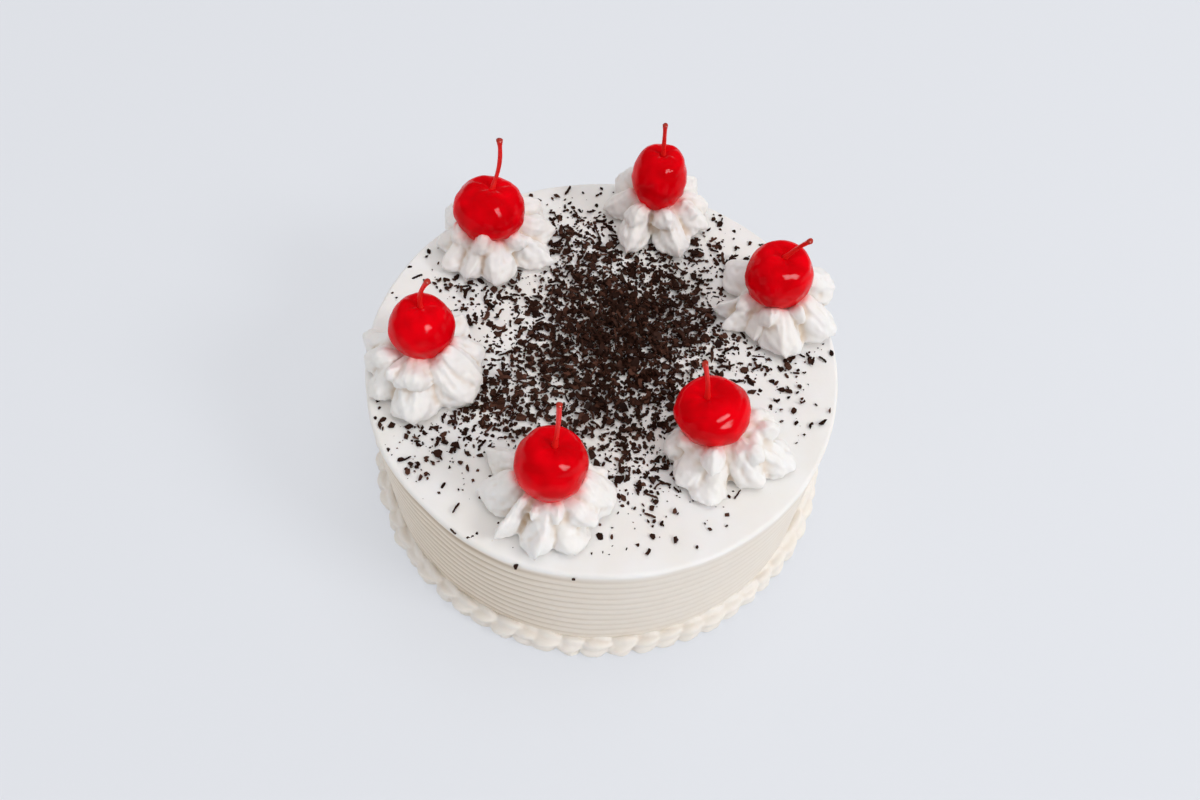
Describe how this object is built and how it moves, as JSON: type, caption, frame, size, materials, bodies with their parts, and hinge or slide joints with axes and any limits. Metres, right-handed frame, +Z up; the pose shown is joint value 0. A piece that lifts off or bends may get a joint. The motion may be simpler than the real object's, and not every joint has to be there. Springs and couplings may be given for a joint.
{
  "type": "black forest cake",
  "caption": "Round whipped cream cake with a combed side, piped shell border, piped rosettes, stemmed cherries and chocolate shavings.",
  "frame": {"origin": "centre of the cake's flat base, on the surface it stands on", "axes": "+Z up; -Y is the side that faces the viewer, with the front rosette a little to its left; +X to the viewer's right"},
  "size_m": [0.1664, 0.1669, 0.1052],
  "materials": {
    "cream": "soft satin whipped cream",
    "cherry": "syrup-glossy candied cherry",
    "stem": "satin dyed stem",
    "chocolate": "matt dark chocolate shavings"
  },
  "bodies": {
    "root": {"cake": "cream", "shell_border": "cream", "rosette_1": "cream", "cherry_1": "cherry", "cherry_stem_1": "stem", "rosette_2": "cream", "cherry_2": "cherry", "cherry_stem_2": "stem", "rosette_3": "cream", "cherry_3": "cherry", "cherry_stem_3": "stem", "rosette_4": "cream", "cherry_4": "cherry", "cherry_stem_4": "stem", "rosette_5": "cream", "cherry_5": "cherry", "cherry_stem_5": "stem", "rosette_6": "cream", "cherry_6": "cherry", "cherry_stem_6": "stem"}
  },
  "joints": []
}
